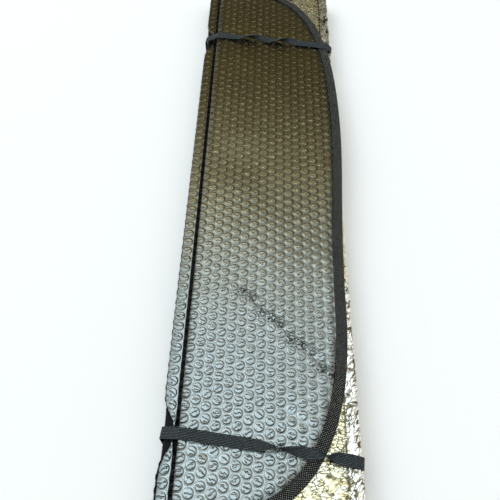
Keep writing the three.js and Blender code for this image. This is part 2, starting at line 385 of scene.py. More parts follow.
class Bubbles:
    """The bubbles of one field, with what sets each one apart."""

    def __init__(self, centres, panel):
        count, y = len(centres), centres[:, 1]
        self.centres = centres
        self.seed = rng.random(count)
        self.spoilt = np.zeros(count)
        if panel == 1:
            self.spoilt = 1 - smoothstep(*SPOILT_REACH, line_distance(centres[:, 0], y, *CREASE))
        fullness = FULLNESS - FULLNESS_SPREAD * rng.random(count)
        fullness -= SPOILT_LOSS * self.spoilt * rng.random(count)
        self.slack = 1.0
        for loss, first_y, last_y in SLACK_STEPS:
            self.slack = self.slack - loss * smoothstep(first_y, last_y, y)
        self.flatter = smoothstep(*FLATTER_Y, y)
        self.fullness = fullness * (1 - FLAT_LOSS * self.flatter)
        self.tilt = rng.normal(0, 0.014 + 0.07 * self.spoilt[:, None], (count, 2))
        self.size = BUBBLE_RADIUS * (1 + 0.02 * rng.normal(size=count))

    def layout(self, steps):
        """Every cell's points from its centre, and their rise: six-sided border, rings and middle."""
        count = len(self.centres)
        turn = np.arange(CELL_STEPS) * 2 * math.pi / CELL_STEPS
        border = np.where(np.arange(CELL_STEPS) % 2 == 0, PITCH / math.sqrt(3), PITCH / 2)
        border = np.stack([border * np.cos(turn), border * np.sin(turn)], 1)
        ring_turn = np.arange(steps) * 2 * math.pi / steps
        circle = np.stack([np.cos(ring_turn), np.sin(ring_turn)], 1)
        local = [np.broadcast_to(border, (count, CELL_STEPS, 2))]
        rise = [np.zeros((count, CELL_STEPS))]
        for near_share, far_share, lift in RINGS:
            share = near_share + (far_share - near_share) * self.flatter
            local.append(circle[None] * (self.size * share)[:, None, None])
            rise.append(np.full((count, steps), lift))
        local.append(np.zeros((count, 1, 2)))
        rise.append(np.full((count, 1), 1.0))
        return np.concatenate(local, 1), np.concatenate(rise, 1)

    def heights(self, local, rise, room):
        """Heights above the floor, with each top's lean and wrinkles."""
        local_x, local_y = local[..., 0], local[..., 1]
        flatter, spoilt = self.flatter[:, None], self.spoilt[:, None]
        top = smoothstep(0.7, 0.97, rise)
        height = rise * room * self.fullness[:, None]
        height += top * (self.tilt[:, :1] * local_x + self.tilt[:, 1:] * local_y) * (1 - 0.8 * flatter)
        depth = 0.16 * (1 - 0.9 * flatter) + 0.3 * spoilt
        height += top * depth * wrinkles(local_x, local_y, self.seed[:, None])
        return height, top


def shared_borders(x, y):
    """Joins border points that neighbours share. Gives the kept points and each point's number among them."""
    count, per_cell = x.shape
    border = np.arange(count * per_cell).reshape(count, per_cell)[:, :CELL_STEPS].ravel()
    keys = np.round(np.stack([x.ravel(), y.ravel()], 1)[border] * 20).astype(np.int64)
    _, first, which = np.unique(keys, axis=0, return_index=True, return_inverse=True)
    joined = np.arange(count * per_cell)
    joined[border] = border[first][which.ravel()]
    used, compact = np.unique(joined, return_inverse=True)
    return used, compact.ravel()


def cell_faces(steps, per_cell):
    """Triangles of one cell, from its border over its rings to its middle."""
    ring_start = [CELL_STEPS + n * steps for n in range(len(RINGS))]
    faces = zip_rings(CELL_STEPS, steps)
    for outer, inner in zip(ring_start, ring_start[1:]):
        for n in range(steps):
            after = (n + 1) % steps
            faces.append([outer + n, outer + after, inner + after])
            faces.append([outer + n, inner + after, inner + n])
    for n in range(steps):
        faces.append([ring_start[-1] + n, ring_start[-1] + (n + 1) % steps, per_cell - 1])
    return np.array(faces)


def marked_heights(panel, x, y, height, top):
    """Adds the top panel's crease and dents to the heights."""
    if panel != 1:
        return height
    crease = CREASE_DEPTH * np.exp(-(line_distance(x, y, *CREASE) / CREASE_REACH) ** 2)
    height = height - crease * (1 - 0.4 * top)
    for start, end, reach in DENTS:
        height = height * (1 - DENT_SHARE * np.exp(-(line_distance(x, y, start, end) / reach) ** 2))
    return height


def pressed_heights(x, y, height):
    """The lowest panel's bubbles stay above what the shade lies on, and give way to the elastics."""
    pressed = 1 - smoothstep(ELASTIC_WIDTH / 2 + 0.4, ELASTIC_WIDTH / 2 + 3, elastic_distance(x, y))
    return np.minimum(height, FOIL_HALF - 0.05 - (ELASTIC_THICKNESS + CLEARANCE) * pressed)


def shade_distance(panel, narrow, wrapped_x, inside, y):
    """Distance to the edge beside which shade is painted on the film: the open fold's, and on the top panel
    the tape's too.
    """
    if narrow:
        edge = wrapped_x - LEFT
        near_end = EDGE_GROWTH * smoothstep(*EDGE_GROWTH_Y, y)
        return np.where(edge < EDGE_GROWTH_X, edge - near_end * (1 - edge / EDGE_GROWTH_X), edge)
    if panel != 1:
        return np.full(len(wrapped_x), OPEN_EDGE)
    from_tape = TAPE_SHADE_START + TAPE_SHADE_GROWTH * (inside - TAPE_WIDTH)
    return np.minimum(np.minimum(wrapped_x - (LEFT + TOP_INSET), from_tape), OPEN_EDGE)


def bubble_field(name, panel, x0, x1, phase, steps, material, narrow=False):
    """A field of bubbles on one panel's dark face, as a closed skin with its own floor."""
    centres = cells(x0, x1, phase)
    if panel in OUTER_PANELS:
        centres = centres[inside_distance(centres[:, 0], centres[:, 1]) > FIELD_INSET]
    bubbles = Bubbles(centres, panel)
    local, rise = bubbles.layout(steps)
    shape = rise.shape
    x, y = centres[:, :1] + local[..., 0], centres[:, 1:] + local[..., 1]
    field_floor = STRIP_FLOOR if narrow else FLOOR
    height, top = bubbles.heights(local, rise, CROWN - field_floor)
    height = field_floor + marked_heights(panel, x, y, height, top)
    if panel == PANELS:
        height = pressed_heights(x, y, height)
    inside = inside_distance(x, y) if panel in OUTER_PANELS else END_Y - np.abs(y)
    open_here = smoothstep(*TAPE_RISE, inside)
    height = PINCHED_HALF * 0.9 * (1 - open_here) + height * open_here

    used, compact = shared_borders(x, y)
    index = np.arange(rise.size).reshape(shape)
    faces = compact[(index[:, :1, None] + cell_faces(steps, shape[1])[None]).reshape(-1, 3)]
    if panel % 2 == 0:
        faces = faces[:, ::-1]

    s = ACCORDION.s_of(panel, x)
    if panel != PANELS:
        fold_start = ACCORDION.start[2 * panel - 1]
        stretched = smoothstep(fold_start + 1, fold_start + 4, s)
        drawn_flat = FOIL_HALF - 0.35 + 0.25 * rise
        height = height * (1 - stretched) + drawn_flat * stretched
    points = ACCORDION.wrap(s, y, height)[used]
    wrapped_x = points[:, 0].copy()
    if narrow:
        held = pinch(points[:, 0], points[:, 1])
        ridge = LEFT + RIDGE_SHARE * TOP_INSET
        points[:, 0] = ridge + (points[:, 0] - ridge) * (1 - HELD_NARROWING * held ** 2.5)
    points = settle(points)

    def per_cell(value):
        return np.broadcast_to(value[:, None], shape).ravel()[used]

    inner = np.concatenate([local, np.broadcast_to(bubbles.seed[:, None, None], (*shape, 1))], -1)
    crease = crease_side(x, y) if panel == 1 else np.full(shape, FAR_FROM_CREASE)
    # Share along the length for the film's painted reflection, cold near and olive far away
    painted_reflection_drift = np.clip((y - PAINTED_REFLECTION_Y[0]) / (PAINTED_REFLECTION_Y[1] - PAINTED_REFLECTION_Y[0]), 0, 1)
    edge = shade_distance(panel, narrow, wrapped_x, inside.ravel()[used], y.ravel()[used])
    values = {"bubble": inner.reshape(-1, 3)[used], "slack": per_cell(bubbles.slack), "edge": edge,
              "crease": crease.ravel()[used], "crumpled": per_cell(bubbles.spoilt),
              "painted_reflection_drift": painted_reflection_drift.ravel()[used]}
    drop = FIELD_DEPTH if panel % 2 else -FIELD_DEPTH
    return closed_skin(name, faces, points, points - [0, 0, drop], material, values)


def closed_skin(name, faces, points, below_points, material, values):
    """A skin with a skirt round its open rim and a face across it below."""
    corners = faces.shape[1]
    pairs = np.concatenate([faces[:, [n, (n + 1) % corners]] for n in range(corners)])
    known = set(map(tuple, pairs.tolist()))
    follow = {a: b for a, b in known if (b, a) not in known}
    loops = []
    left = set(follow)
    while left:
        start = left.pop()
        loop = [start]
        while follow[loop[-1]] != start:
            loop.append(follow[loop[-1]])
            left.discard(loop[-1])
            if len(loop) > len(follow):
                break
        loops.append(loop)
    rim = [point for loop in loops for point in loop]
    below = {point: len(points) + n for n, point in enumerate(rim)}
    faces = faces.tolist()
    for loop in loops:
        for a, b in zip(loop, loop[1:] + loop[:1]):
            faces.append([b, a, below[a], below[b]])
        faces.append([below[point] for point in loop])
    values = {key: np.concatenate([value, value[rim]]) for key, value in values.items()}
    return add_mesh(name, np.concatenate([points, below_points[rim]]), faces, [material], values=values)


# The folded sheet under the bubbles

STRIP_X = (LEFT - 6, LEFT + 17)
BUBBLE_PHASE = (MIDDLE - 64.3, -172.6)
STRIP_PHASE = (LEFT + 6.6, -170.0)
UNDER_PHASE = (MIDDLE + 2, 0)
PAINTED_REFLECTION_Y = (-230, 230)
OPEN_EDGE = 10.0
TAPE_SHADE_START = 0.4
TAPE_SHADE_GROWTH = 0.95
EDGE_GROWTH = 4.0
EDGE_GROWTH_X = 5
EDGE_GROWTH_Y = (-225, -325)
FAR_FROM_CREASE = 9.0
FREE_COLUMNS = 14
SHEET_ROWS = 271
STRIP_BED = 4
BED_END = (14, 12.5)
FOLD_MARK = 0.35
FOLD_CREASE = 0.9


def sheet_columns():
    """s of the sheet's fixed columns, closer together in the folds and on the open strip."""
    columns = []
    for k, kind in enumerate(ACCORDION.kind):
        start = ACCORDION.start[k]
        end = ACCORDION.start[k + 1] if k + 1 < len(ACCORDION.kind) else ACCORDION.total
        if abs(kind) == 2:
            columns.extend(np.linspace(start, end, 10)[:-1])
        elif k == 0 or k == len(ACCORDION.kind) - 1:
            continue
        elif k == 4:
            strip_start = ACCORDION.s_of(3, LEFT + TOP_INSET + STRIP_BED)
            columns.extend([start, (start + strip_start) / 2])
            columns.extend(np.linspace(strip_start, end, 13)[:-1])
        else:
            columns.extend(np.linspace(start, end, 5)[:-1])
    columns.append(ACCORDION.start[-1])
    return np.array(columns)


def folded_sheet(dark, silver):
    """The whole sheet with its flattened margin. The bubbles on open faces are fields of their own."""
    hem = TAPE_THICKNESS + CLEARANCE
    y = np.linspace(-END_Y + hem, END_Y - hem, SHEET_ROWS)
    fixed = sheet_columns()
    along = np.gradient(EDGE, axis=0)
    along /= np.linalg.norm(along, axis=1)[:, None]
    inset = EDGE + hem * np.stack([-along[:, 1], along[:, 0]], 1)
    start = WIDEST_X - np.interp(y, inset[:, 1], inset[:, 0])
    share = np.linspace(0, 1, FREE_COLUMNS, endpoint=False)
    first = start[:, None] + (fixed[0] - start[:, None]) * share
    last = (ACCORDION.total - start)[:, None] + (fixed[-1] - ACCORDION.total + start)[:, None] * share
    s = np.concatenate([first, np.broadcast_to(fixed, (len(y), len(fixed))), last[:, ::-1]], 1)
    rows, columns = s.shape
    yy = np.broadcast_to(y[:, None], s.shape)
    inside = END_Y - np.abs(yy)
    outer = (s < fixed[0]) | (s > fixed[-1])
    x = np.where(s < fixed[0], WIDEST_X - s, WIDEST_X - (ACCORDION.total - s))
    inside = np.where(outer, inside_distance(x, yy), inside)
    full = smoothstep(TAPE_WIDTH - 0.5, TAPE_WIDTH + 4, inside)

    # Folds keep the marks of pressed bubbles outside and small creases on the silver side
    in_fold = np.abs(ACCORDION.kind[ACCORDION.part_of(s)]) == 2
    scallop = FOLD_MARK * np.cos(2 * math.pi * yy / PITCH + s) - 0.25
    creases = FOLD_CREASE * (soft_noise(yy + 500, s, 2.4, 5) - 0.5) * soft_noise(yy + 300, s * 2, 7, 6)
    pressed = FOIL_HALF - 0.15 + np.where(in_fold, scallop, 0)

    # Below the fields of bubbles the film lies deeper, as their bed
    under_field = FLOOR - 0.7
    bed_start, bed_full = BED_END
    strip_fold = ACCORDION.start[5]
    open_top = smoothstep(fixed[0] + bed_start, fixed[0] + bed_full, s)
    on_strip = (s > ACCORDION.s_of(3, LEFT + TOP_INSET + STRIP_BED)) & (s < strip_fold + bed_start + 1)
    strip_open = np.where(on_strip, smoothstep(strip_fold + bed_start, strip_fold + bed_full, s), 0)
    open_under = smoothstep(fixed[-1], fixed[-1] + 1.5, s)
    field = np.maximum(np.maximum(open_top, open_under), strip_open)
    dark_height = PINCHED_HALF + (pressed * (1 - field) + under_field * field - PINCHED_HALF) * full
    silver_height = -(PINCHED_HALF + (FOIL_HALF - PINCHED_HALF) * full + creases * full)

    points = np.concatenate([placed(s, yy, dark_height), placed(s, yy, silver_height)])
    count = rows * columns
    dark_faces = grid_faces(rows, columns)
    silver_faces = dark_faces[:, ::-1] + count
    rim = grid_rim(rows, columns)
    after = np.roll(rim, -1)
    rim_faces = np.stack([rim, rim + count, after + count, after], 1)
    faces = np.concatenate([dark_faces, silver_faces, rim_faces])
    kinds = np.concatenate([np.zeros(len(dark_faces)), np.ones(len(silver_faces)), np.zeros(len(rim_faces))])
    # Where the dark film gets painted deep shade: the folds and the strip's bed under the top panel
    fold = np.maximum(in_fold, strip_open).ravel()
    return add_mesh("foil_sheet_folds", points, faces, [dark, silver], face_material=kinds,
                    values={"fold": np.concatenate([fold, fold])})


SILVER_STEP = 0.9
SILVER_CREASE_X = RIGHT - 12
FACET_AREA = 22
FACET_STRETCH = (0.64, 1.25)


def facets(x, y, seed):
    """Crumpled film as facets: each point's distance to the two nearest middles, and its facet's level."""
    facet_rng = np.random.default_rng(seed)
    low, high = (x[0, 0], y[0, 0]), (x[-1, -1], y[-1, -1])
    middles = facet_rng.uniform(low, high, (int((high[0] - low[0]) * (high[1] - low[1]) / FACET_AREA), 2))
    levels = facet_rng.random(len(middles))
    nearest, second, level = np.full(x.shape, 1e9), np.full(x.shape, 1e9), np.zeros(x.shape)
    for (middle_x, middle_y), value in zip(middles, levels):
        away = np.hypot((x - middle_x) * FACET_STRETCH[0], (y - middle_y) * FACET_STRETCH[1])
        closer = away < nearest
        second = np.where(closer, nearest, np.minimum(second, away))
        level = np.where(closer, value, level)
        nearest = np.where(closer, away, nearest)
    return nearest, second, level


def silver_corner(name, near, material):
    """The crinkled silver face that shows beyond the rounded corner of the top panel."""
    end = END_Y - TAPE_WIDTH + 1
    y = np.arange(end - CORNER_RISE - 20, end, SILVER_STEP)
    x = np.arange(RIGHT - CORNER_RUN - 4, RIGHT - STRAIGHT_END + 5.5, SILVER_STEP)
    if near:
        y = -y[::-1]
    yy, xx = np.meshgrid(y, x, indexing="ij")
    nearest, second, level = facets(xx, yy, 5 if near else 6)
    ridges = np.exp(-((second - nearest) / 0.55) ** 2)
    relief = 0.3 * level - 0.08 * nearest - 0.3 * ridges
    shoulder = smoothstep(SILVER_CREASE_X - 1, SILVER_CREASE_X + 1, xx)
    streaks = soft_noise(yy * 0.35 + xx * 0.9 + 900, xx * 0.25 - yy * 0.15 + 900, 1.6, 9)
    relief = relief * (1 - 0.6 * shoulder) + 0.7 * (streaks - 0.4) * shoulder
    relief -= 0.7 * np.exp(-((xx - SILVER_CREASE_X) / 0.8) ** 2)
    inside = inside_distance(xx, yy)
    free = smoothstep(8, 2, inside) * smoothstep(0, 3, np.minimum(xx - x[0], end - np.abs(yy)))
    room = 0.8 + 0.7 * smoothstep(1, -4, inside)
    height = -(FOIL_HALF + 0.05 + np.clip(0.35 + relief, 0, room) * free)
    s = ACCORDION.s_of(2, xx)
    top, bottom = placed(s, yy, height), placed(s, yy, np.full(s.shape, -FOIL_HALF + 0.6))
    # Where the material paints shade: the facets' ridges and the shoulder's crease
    crease = np.clip(ridges * free + np.exp(-((xx - SILVER_CREASE_X) / 1.2) ** 2), 0, 1)
    values = {"crease": crease.ravel(), "outer": shoulder.ravel()}
    return closed_skin(name, grid_faces(*xx.shape), top, bottom, material, values)


# The binding: one folded tape round the whole edge

def perimeter():
    """The sheet's edge in s and Y as a closed loop, with the inward direction at each point."""
    free = np.stack([WIDEST_X - EDGE[:, 0], EDGE[:, 1]], 1)
    fixed = sheet_columns()
    before_fold = np.linspace(free[-1, 0], fixed[0], 12)[1:-1]
    along_end = np.concatenate([before_fold, fixed, ACCORDION.total - before_fold[::-1]])
    far_end = np.stack([along_end, np.full(len(along_end), END_Y)], 1)
    lower = np.stack([ACCORDION.total - free[:, 0], free[:, 1]], 1)[::-1]
    near_end = np.stack([along_end[::-1], np.full(len(along_end), -END_Y)], 1)
    loop = np.concatenate([free, far_end, lower, near_end])
    step = np.roll(loop, -1, 0) - np.roll(loop, 1, 0)
    step /= np.linalg.norm(step, axis=1)[:, None]
    inward = np.stack([step[:, 1], -step[:, 0]], 1)
    length = np.concatenate([[0], np.cumsum(np.linalg.norm(np.diff(loop, axis=0), axis=1))])
    return loop, inward, length


def wrapped(loop, inward, depth, height):
    s = loop[:, None, 0] + inward[:, None, 0] * depth[None]
    y = loop[:, None, 1] + inward[:, None, 1] * depth[None]
    return placed(s, y, np.broadcast_to(height[None], s.shape))


# The tape's outside from its inner edge to its fold, as depth on the sheet and height, with two seams' dips
TAPE_PROFILE = [(10.0, 1.25), (9.9, 1.5), (9.5, 1.62), (8.7, 1.6), (8.3, 1.42), (7.9, 1.6), (6.4, 1.7),
                (5.2, 1.66), (4.8, 1.5), (4.4, 1.66), (2.6, 1.7), (1.2, 1.64), (0.5, 1.4), (0.12, 0.9),
                (0.0, 0.3)]
TAPE_FOLD_DEPTH = 0.85
TAPE_FOLD_END = 1.4


def binding(material):
    loop, inward, length = perimeter()
    outer = TAPE_PROFILE + [(depth, -high) for depth, high in reversed(TAPE_PROFILE)]
    half = TAPE_HALF - TAPE_THICKNESS
    inner = [(TAPE_WIDTH, -half), (TAPE_FOLD_END, -half), (TAPE_FOLD_DEPTH, -0.4), (TAPE_FOLD_DEPTH, 0.4),
             (TAPE_FOLD_END, half), (TAPE_WIDTH, half)]
    section = np.array(outer + inner)
    points = wrapped(loop, inward, section[:, 0], section[:, 1])
    rows, columns = len(loop), len(section)
    faces = grid_faces(rows, columns, close_rows=True, close_columns=True)
    around = np.repeat(length, columns)
    girth = np.concatenate([[0], np.cumsum(np.linalg.norm(np.diff(section, axis=0), axis=1))])
    place = np.stack([around, np.tile(girth, rows), np.tile(section[:, 0], rows)], 1)
    return add_mesh("edge_binding_tape", points, faces, [material], values={"place": place})


STITCH_SPACING = 3.6
STITCH_SIZE = (2.5, 0.42, 0.3)
STITCH_DEPTH = 8.3
STITCH_HEIGHT = 1.4
# One stitch: two tips, a long body and its ridge, along, across and up
STITCH_POINTS = [(-0.5, 0, 0), (0.5, 0, 0), (-0.3, -0.5, 0), (-0.3, 0.5, 0), (0.3, -0.5, 0), (0.3, 0.5, 0),
                 (-0.3, 0, 1), (0.3, 0, 1)]
STITCH_FACES = [(0, 6, 3), (0, 2, 6), (2, 4, 7, 6), (6, 7, 5, 3), (4, 1, 7), (7, 1, 5), (0, 3, 5, 1, 4, 2)]


def stitches(material):
    """Lockstitch along the tape's inner edge, on both faces of the two outer panels."""
    loop, inward, length = perimeter()
    free_end = length[len(EDGE) - 1]
    lower_start = length[len(loop) - len(EDGE) - (len(loop) - 2 * len(EDGE)) // 2]
    long, wide, high = STITCH_SIZE
    points, faces = [], []
    for middle in np.arange(0, length[-1], STITCH_SPACING):
        on_top = middle < free_end
        underneath = lower_start < middle < lower_start + free_end
        if not (on_top or underneath):
            continue
        for side in (1, -1):
            base = len(points)
            for along, across, up in STITCH_POINTS:
                place = middle + along * long
                s, y = [np.interp(place, length, loop[:, n]) for n in (0, 1)]
                inward_s, inward_y = [np.interp(place, length, inward[:, n]) for n in (0, 1)]
                depth = STITCH_DEPTH + across * wide
                height = side * (STITCH_HEIGHT + up * high)
                points.append((s + inward_s * depth, y + inward_y * depth, height))
            for face in STITCH_FACES:
                faces.append([base + n for n in (face if side == 1 else reversed(face))])
    return add_mesh("edge_binding_thread", placed(*np.array(points).T), faces, [material])


# The elastics

CORNER_STEP = math.radians(12)
BAND_STEP = 1.6
BAND_RIBS = 8
RIB_GROOVE = 0.66
BAND_EDGE = 0.985
BAND_CURL = 0.9


def convex_hull(points):
    ordered = sorted(map(tuple, points))

    def chain(sequence):
        hull = []
        for point in sequence:
            while len(hull) > 1:
                (ax, ay), (bx, by) = hull[-2], hull[-1]
                if (bx - ax) * (point[1] - ay) - (by - ay) * (point[0] - ax) > 0:
                    break
                hull.pop()
            hull.append(point)
        return hull[:-1]

    return chain(ordered) + chain(reversed(ordered))


def taut_line(y):
    """The band's middle round the bundle in its slanted plane, with the outward direction at each point."""
    lowest = ELASTIC_THICKNESS + CLEARANCE
    reach = ELASTIC_WIDTH / 2 + CLEARANCE
    slope = math.tan(ELASTIC_SLANT)

    def lying(x, z):
        return settle(np.stack([x, y - (x - MIDDLE) * slope, z], -1))

    s = sheet_columns()
    folds = np.concatenate([ACCORDION.wrap(s, 0 * s, 0 * s + height) for height in (FOIL_HALF, -FOIL_HALF)])
    top_x = np.linspace(LEFT + TOP_INSET + STRAIGHT_END, RIGHT - SIDE_BULGE, 30)
    held = np.concatenate([lying(folds[:, 0], folds[:, 2]), lying(top_x, 0 * top_x + TOP_Z + CROWN)])
    held = [((x - MIDDLE) / COS_SLANT + shift, max(z, lowest))
            for x, _, z in held for shift in (-reach * slope, reach * slope)]
    across, along = EDGE[:, 0] - MIDDLE, EDGE[:, 1] - y
    turned_x, turned_y = across * COS_SLANT - along * SIN_SLANT, across * SIN_SLANT + along * COS_SLANT
    edge = max(np.interp(level, turned_y, turned_x) for level in (-reach, 0, reach))
    held.extend([(edge, TOP_Z + TAPE_HALF - 0.6), (edge, lowest)])
    hull = convex_hull(held)
    offset = CLEARANCE + ELASTIC_THICKNESS / 2
    line = []
    for i, point in enumerate(hull):
        before, after = hull[i - 1], hull[(i + 1) % len(hull)]
        arriving = math.atan2(point[1] - before[1], point[0] - before[0]) - math.pi / 2
        leaving = math.atan2(after[1] - point[1], after[0] - point[0]) - math.pi / 2
        sweep = (leaving - arriving) % (2 * math.pi)
        parts = max(1, math.ceil(sweep / CORNER_STEP))
        for n in range(parts + 1):
            angle = arriving + sweep * n / parts
            out = (math.cos(angle), math.sin(angle))
            line.append((point[0] + offset * out[0], point[1] + offset * out[1], *out))
        x0, z0, ox, oz = line[-1]
        end = (after[0] + offset * ox, after[1] + offset * oz)
        parts = math.ceil(math.hypot(end[0] - x0, end[1] - z0) / BAND_STEP)
        for n in range(1, parts):
            share = n / parts
            line.append((x0 + (end[0] - x0) * share, z0 + (end[1] - z0) * share, ox, oz))
    return line


def band_section():
    """The band's cross-section with ribs along it, as shares of its half width and half thickness."""
    ribs = [((n / BAND_RIBS - 1) * BAND_EDGE, 1.0 if n % 2 else RIB_GROOVE) for n in range(2 * BAND_RIBS + 1)]
    below = [(across, -high) for across, high in reversed(ribs)]
    return np.array([(-1.0, 0.3), *ribs, (1.0, 0.3), (1.0, -0.3), *below, (-1.0, -0.3)])


def elastic(name, material):
    """One stretched band that turns over twice on the top panel."""
    y, turns = ELASTICS[name]["y"], ELASTICS[name]["turns"]
    half_thick = ELASTIC_THICKNESS / 2
    section = band_section()
    line = taut_line(y)
    rings, around = [], []
    travelled = 0.0
    last = line[0]
    for x, z, ox, oz in line:
        travelled += math.hypot(x - last[0], z - last[1])
        last = (x, z)
        turn = 0.0
        if oz > 0.7:
            for centre, run in turns:
                share = min(max((centre - x + run / 2) / run, 0), 1)
                turn += math.pi * (share ** 3 * (share * (6 * share - 15) + 10))
        upright = abs(math.sin(turn))
        half_wide = ELASTIC_WIDTH / 2 * (1 - ELASTIC_GATHER * upright)
        lift = (half_wide - half_thick) * upright
        u = section[:, 0] * half_wide
        t = section[:, 1] * half_thick
        curl = BAND_CURL * upright * (section[:, 0] ** 2 - 0.4)
        across = u * math.cos(turn) - (t + curl) * math.sin(turn)
        out = u * math.sin(turn) + (t + curl) * math.cos(turn) + lift
        px, pz = x + ox * out, z + oz * out
        ring_x, ring_y = MIDDLE + px * COS_SLANT + across * SIN_SLANT, y - px * SIN_SLANT + across * COS_SLANT
        rings.append(np.stack([ring_x, ring_y, pz], 1))
        around.append(travelled)
    rings = np.array(rings)
    keep = clear_of_lower_tape(rings.mean(1))
    start = int(np.argmax(~keep))
    order = [(start + n) % len(rings) for n in range(len(rings))]
    order = [n for n in order if keep[n]]
    rings, around = rings[order], np.array(around)[order]
    rows, columns = rings.shape[:2]
    faces = grid_faces(rows, columns, close_columns=True).tolist()
    faces.append(list(range(columns)))
    faces.append(list(range(rows * columns - 1, (rows - 1) * columns - 1, -1)))
    place = np.stack([np.repeat(around, columns), np.tile(section[:, 0] * ELASTIC_WIDTH / 2, rows),
                      np.zeros(rows * columns)], 1)
    return add_mesh(name + "_band", rings.reshape(-1, 3), faces, [material], values={"place": place})


def clear_of_lower_tape(middles):
    """Which rings of a band lie clear of the lowest panel's tape, where its ends are sewn."""
    inside = inside_distance(middles[:, 0], middles[:, 1])
    lowest = (middles[:, 2] < layer_z(PANELS) + FOLD_RADIUS) & (middles[:, 0] > 0)
    in_tape = (inside < TAPE_WIDTH + CLEARANCE) & (inside > -CLEARANCE)
    return ~(lowest & in_tape)


# Materials

def feed(tree, socket, value):
    """Links another node's output or sets a fixed value."""
    if isinstance(value, bpy.types.NodeSocket):
        tree.links.new(value, socket)
    else:
        socket.default_value = value


def node(tree, kind, inputs=None, **settings):
    made = tree.nodes.new(kind)
    for key, value in settings.items():
        setattr(made, key, value)
    for key, value in (inputs or {}).items():
        feed(tree, made.inputs[key], value)
    return made


def math_node(tree, operation, a, b=0.0, c=0.0):
    return node(tree, "ShaderNodeMath", {0: a, 1: b, 2: c}, operation=operation).outputs[0]


def product(tree, first, *others):
    for other in others:
        first = math_node(tree, "MULTIPLY", first, other)
    return first


def larger(tree, first, second):
    return math_node(tree, "MAXIMUM", first, second)


def spread(tree, value, low, high, out_low=0.0, out_high=1.0):
    """Takes a value from one range to another, with soft ends."""
    inputs = {"Value": value, "From Min": low, "From Max": high, "To Min": out_low, "To Max": out_high}
    return node(tree, "ShaderNodeMapRange", inputs, interpolation_type="SMOOTHSTEP").outputs[0]


def colours(tree, share, first, second):
    """Between two colours."""
    first, second = [(*colour, 1) if isinstance(colour, tuple) else colour for colour in (first, second)]
    inputs = {"Factor": share, 6: first, 7: second}
    return node(tree, "ShaderNodeMix", inputs, data_type="RGBA").outputs[2]


def noise(tree, vector, scale, detail=2.0, distortion=0.0, output="Fac"):
    inputs = {"Vector": vector, "Scale": scale, "Detail": detail, "Distortion": distortion}
    return node(tree, "ShaderNodeTexNoise", inputs).outputs[output]


def attribute(tree, name, output="Fac"):
    return node(tree, "ShaderNodeAttribute", attribute_name=name).outputs[output]


def object_place(tree):
    return node(tree, "ShaderNodeTexCoord").outputs["Object"]


def vector(tree, x, y, z):
    return node(tree, "ShaderNodeCombineXYZ", {0: x, 1: y, 2: z}).outputs[0]


def parts_of(tree, value):
    return node(tree, "ShaderNodeSeparateXYZ", {0: value}).outputs


def turned_by(tree, value, angle):
    inputs = {"Vector": value, "Angle": angle}
    return node(tree, "ShaderNodeVectorRotate", inputs, rotation_type="Z_AXIS").outputs[0]


def stretched_by(tree, value, scale):
    return node(tree, "ShaderNodeMapping", {"Vector": value, "Scale": scale}).outputs[0]


def new_material(name):
    material = bpy.data.materials.new(name)
    material.use_nodes = True
    tree = material.node_tree
    tree.nodes.clear()
    shader = tree.nodes.new("ShaderNodeBsdfPrincipled")
    node(tree, "ShaderNodeOutputMaterial", {"Surface": shader.outputs[0]})
    return material, tree, shader


def set_shader(tree, shader, **inputs):
    for key, value in inputs.items():
        feed(tree, shader.inputs[key.replace("_", " ").title().replace("Ior", "IOR")], value)


def bumped(tree, height, distance, strength=1.0):
    inputs = {"Height": height, "Distance": distance, "Strength": strength}
    return node(tree, "ShaderNodeBump", inputs).outputs[0]


FILM_NEAR = ((0.32, 0.35, 0.355), (0.365, 0.395, 0.40))
FILM_BETWEEN = (0.41, 0.45, 0.46)
FILM_MIDDLE_PAINTED_REFLECTION = (0.315, 0.28, 0.18)
FILM_FAR_PAINTED_REFLECTION = (0.155, 0.127, 0.062)
RIM_PAINTED_SHADES = ((0.25, 0.27, 0.27), (0.10, 0.095, 0.07), (0.10, 0.083, 0.043))
RIM_PAINTED_HIGHLIGHT = (0.50, 0.54, 0.55)
PAINTED_HIGHLIGHT_METALLIC = 0.45
CRUMPLE_PAINTED_SHADE = (0.05, 0.053, 0.053)
CREASE_PAINTED_SHADE = (0.05, 0.05, 0.052)
EDGE_PAINTED_SHADE = (0.07, 0.075, 0.07)
DEEP_PAINTED_SHADE = (0.006, 0.006, 0.007)
DEEP_SHADE_BEYOND = (11.6, 12.3)
DEEP_SHADE_WITHIN = (1.3, 0.5)
EDGE_SHADE = 9.0
FOLD_PITCH = 2 * math.pi / 1.9
FOLD_LEAN = 0.55


def slack_folds(tree, flat, seed, own, reach):
    """The few folds in a bubble's slack top, which lean and bend in their own way."""
    lean = math_node(tree, "MULTIPLY_ADD", seed, 2 * FOLD_LEAN, -FOLD_LEAN)
    bend = math_node(tree, "MULTIPLY_ADD", noise(tree, own, 0.3, 1.0), 5.0, -2.5)
    across = math_node(tree, "ADD", parts_of(tree, turned_by(tree, flat, lean))[1], bend)
    swing = math_node(tree, "COSINE", product(tree, across, 2 * math.pi / FOLD_PITCH))
    crest = math_node(tree, "POWER", larger(tree, swing, 0.0), 1.6)
    return product(tree, crest, spread(tree, reach, 3.5, 1.8))


